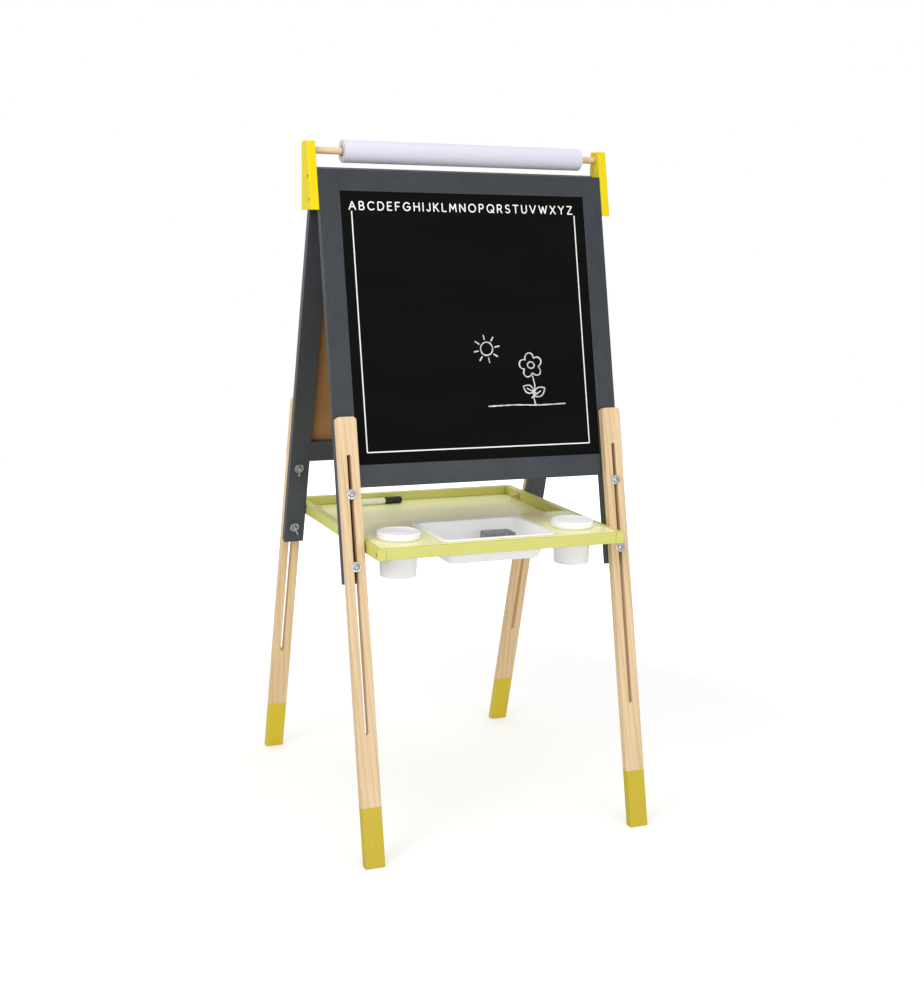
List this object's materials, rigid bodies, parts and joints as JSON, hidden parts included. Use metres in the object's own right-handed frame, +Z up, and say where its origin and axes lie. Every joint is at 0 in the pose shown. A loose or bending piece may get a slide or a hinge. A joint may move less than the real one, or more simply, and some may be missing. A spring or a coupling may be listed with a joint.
{
  "type": "kids easel",
  "caption": "Two-sided children's easel: chalkboard in front, dry-erase board behind, slotted adjustable legs, tray with basin and lidded pots, paper roll on a dowel.",
  "frame": {"origin": "on the floor, at the centre of the easel's bounding box with the frames open and the legs as shown", "axes": "+Z up, +X to the right as seen from the chalkboard side, +Y from the chalkboard side to the whiteboard side"},
  "size_m": [0.5826, 0.646, 1.2235],
  "materials": {
    "grey_paint": "anthracite grey paint on planed wood, satin",
    "chalkboard_paint": "matt black chalkboard paint on hardboard",
    "white_laminate": "glossy white dry-erase laminate on hardboard",
    "pine": "planed pine, clear sealed",
    "yellow_paint": "bright yellow paint on wood, satin",
    "lime_paint": "pale lime paint on wood, satin",
    "zinc_steel": "zinc plated steel",
    "white_plastic": "white moulded polypropylene, slightly translucent",
    "paper": "white drawing paper, rolled",
    "cardboard": "plain brown card tube",
    "felt": "dark grey wool felt",
    "black_plastic": "black moulded plastic",
    "marker_plastic": "white moulded plastic"
  },
  "bodies": {
    "front_frame": {"front_stile_left": "grey_paint", "front_stile_right": "grey_paint", "front_top_rail": "grey_paint", "front_bottom_rail": "grey_paint", "chalkboard": "chalkboard_paint", "bracket_left": "yellow_paint", "bracket_right": "yellow_paint", "front_bolt_left_upper": "zinc_steel", "front_bolt_left_lower": "zinc_steel", "front_bolt_right_upper": "zinc_steel", "front_bolt_right_lower": "zinc_steel", "front_hinge_leaf_left": "zinc_steel", "front_hinge_leaf_right": "zinc_steel", "hinge_pin_left": "zinc_steel", "hinge_pin_right": "zinc_steel"},
    "rear_frame": {"rear_stile_left": "grey_paint", "rear_stile_right": "grey_paint", "rear_top_rail": "grey_paint", "rear_bottom_rail": "grey_paint", "whiteboard": "white_laminate", "rear_bolt_left_upper": "zinc_steel", "rear_bolt_left_lower": "zinc_steel", "rear_bolt_right_upper": "zinc_steel", "rear_bolt_right_lower": "zinc_steel", "rear_hinge_leaf_left": "zinc_steel", "rear_hinge_leaf_right": "zinc_steel"},
    "front_leg_left": {"front_leg_left": "pine"},
    "front_leg_right": {"front_leg_right": "pine"},
    "front_wing_nut_left_upper": {"front_wing_nut_left_upper": "zinc_steel"},
    "front_wing_nut_left_lower": {"front_wing_nut_left_lower": "zinc_steel"},
    "front_wing_nut_right_upper": {"front_wing_nut_right_upper": "zinc_steel"},
    "front_wing_nut_right_lower": {"front_wing_nut_right_lower": "zinc_steel"},
    "rear_leg_left": {"rear_leg_left": "pine"},
    "rear_leg_right": {"rear_leg_right": "pine"},
    "rear_wing_nut_left_upper": {"rear_wing_nut_left_upper": "zinc_steel"},
    "rear_wing_nut_left_lower": {"rear_wing_nut_left_lower": "zinc_steel"},
    "rear_wing_nut_right_upper": {"rear_wing_nut_right_upper": "zinc_steel"},
    "rear_wing_nut_right_lower": {"rear_wing_nut_right_lower": "zinc_steel"},
    "tray": {"tray_rail_front": "lime_paint", "tray_rail_rear": "lime_paint", "tray_rail_left": "lime_paint", "tray_rail_right": "lime_paint", "tray_cross_rail": "lime_paint", "tray_deck": "lime_paint", "tray_floor": "lime_paint", "tray_peg_rear_left": "pine", "tray_peg_rear_right": "pine", "tray_peg_front_left": "pine", "tray_peg_front_right": "pine"},
    "roll_dowel": {"roll_dowel": "pine"},
    "paper_roll": {"paper_roll": "paper", "roll_core": "cardboard"},
    "pot_left": {"pot_left": "white_plastic"},
    "pot_lid_left": {"pot_lid_left": "white_plastic"},
    "pot_right": {"pot_right": "white_plastic"},
    "pot_lid_right": {"pot_lid_right": "white_plastic"},
    "basin": {"basin": "white_plastic"},
    "felt_eraser": {"felt_eraser": "felt"},
    "marker": {"marker_barrel": "marker_plastic"},
    "marker_cap": {"marker_cap": "black_plastic"}
  },
  "joints": [
    {"name": "frame_fold", "type": "hinge", "parent": "front_frame", "child": "rear_frame", "pos_m": [0, -0.01739, 1.16643], "axis": [1, 0, 0], "range_deg": [-25, 0]},
    {"name": "front_leg_left_slide", "type": "slide", "parent": "front_frame", "child": "front_leg_left", "axis": [0, -0.2239, -0.9746], "range_m": [-0.284, 0.064]},
    {"name": "front_leg_right_slide", "type": "slide", "parent": "front_frame", "child": "front_leg_right", "axis": [0, -0.2239, -0.9746], "range_m": [-0.284, 0.064]},
    {"name": "front_wing_nut_left_upper_turn", "type": "hinge", "parent": "front_frame", "child": "front_wing_nut_left_upper", "pos_m": [-0.257, -0.14904, 0.61715], "axis": [0, 0.9746, -0.2239], "continuous": true},
    {"name": "front_wing_nut_left_lower_turn", "type": "hinge", "parent": "front_frame", "child": "front_wing_nut_left_lower", "pos_m": [-0.257, -0.17703, 0.49532], "axis": [0, 0.9746, -0.2239], "continuous": true},
    {"name": "front_wing_nut_right_upper_turn", "type": "hinge", "parent": "front_frame", "child": "front_wing_nut_right_upper", "pos_m": [0.257, -0.14904, 0.61715], "axis": [0, 0.9746, -0.2239], "continuous": true},
    {"name": "front_wing_nut_right_lower_turn", "type": "hinge", "parent": "front_frame", "child": "front_wing_nut_right_lower", "pos_m": [0.257, -0.17703, 0.49532], "axis": [0, 0.9746, -0.2239], "continuous": true},
    {"name": "rear_leg_left_slide", "type": "slide", "parent": "rear_frame", "child": "rear_leg_left", "axis": [0, 0.2511, -0.968], "range_m": [-0.284, 0.064]},
    {"name": "rear_leg_right_slide", "type": "slide", "parent": "rear_frame", "child": "rear_leg_right", "axis": [0, 0.2511, -0.968], "range_m": [-0.284, 0.064]},
    {"name": "rear_wing_nut_left_upper_turn", "type": "hinge", "parent": "rear_frame", "child": "rear_wing_nut_left_upper", "pos_m": [-0.257, 0.13054, 0.61719], "axis": [0, -0.968, -0.2511], "continuous": true},
    {"name": "rear_wing_nut_left_lower_turn", "type": "hinge", "parent": "rear_frame", "child": "rear_wing_nut_left_lower", "pos_m": [-0.257, 0.16184, 0.49648], "axis": [0, -0.968, -0.2511], "continuous": true},
    {"name": "rear_wing_nut_right_upper_turn", "type": "hinge", "parent": "rear_frame", "child": "rear_wing_nut_right_upper", "pos_m": [0.257, 0.13054, 0.61719], "axis": [0, -0.968, -0.2511], "continuous": true},
    {"name": "rear_wing_nut_right_lower_turn", "type": "hinge", "parent": "rear_frame", "child": "rear_wing_nut_right_lower", "pos_m": [0.257, 0.16184, 0.49648], "axis": [0, -0.968, -0.2511], "continuous": true},
    {"name": "tray_swing", "type": "hinge", "parent": "rear_frame", "child": "tray", "pos_m": [0, 0.16043, 0.533], "axis": [1, 0, 0], "range_deg": [0, 104]},
    {"name": "dowel_lift", "type": "slide", "parent": "front_frame", "child": "roll_dowel", "axis": [0, 0, 1], "range_m": [0, 0.03]},
    {"name": "paper_unroll", "type": "hinge", "parent": "roll_dowel", "child": "paper_roll", "pos_m": [0, -0.0117, 1.2035], "axis": [1, 0, 0], "continuous": true},
    {"name": "pot_left_lift", "type": "slide", "parent": "tray", "child": "pot_left", "axis": [0, 0, 1], "range_m": [0, 0.07]},
    {"name": "pot_lid_left_lift", "type": "slide", "parent": "pot_left", "child": "pot_lid_left", "axis": [0, 0, -1], "range_m": [-0.02, 0]},
    {"name": "pot_right_lift", "type": "slide", "parent": "tray", "child": "pot_right", "axis": [0, 0, 1], "range_m": [0, 0.07]},
    {"name": "pot_lid_right_lift", "type": "slide", "parent": "pot_right", "child": "pot_lid_right", "axis": [0, 0, -1], "range_m": [-0.02, 0]},
    {"name": "basin_lift", "type": "slide", "parent": "tray", "child": "basin", "axis": [0, 0, 1], "range_m": [0, 0.055]},
    {"name": "eraser_lift", "type": "slide", "parent": "basin", "child": "felt_eraser", "axis": [0, 0, -1], "range_m": [-0.05, 0]},
    {"name": "marker_lift", "type": "slide", "parent": "tray", "child": "marker", "axis": [0, 0, 1], "range_m": [0, 0.05]},
    {"name": "marker_cap_pull", "type": "slide", "parent": "marker", "child": "marker_cap", "axis": [0.9976, 0.0698, 0], "range_m": [0, 0.04]}
  ]
}
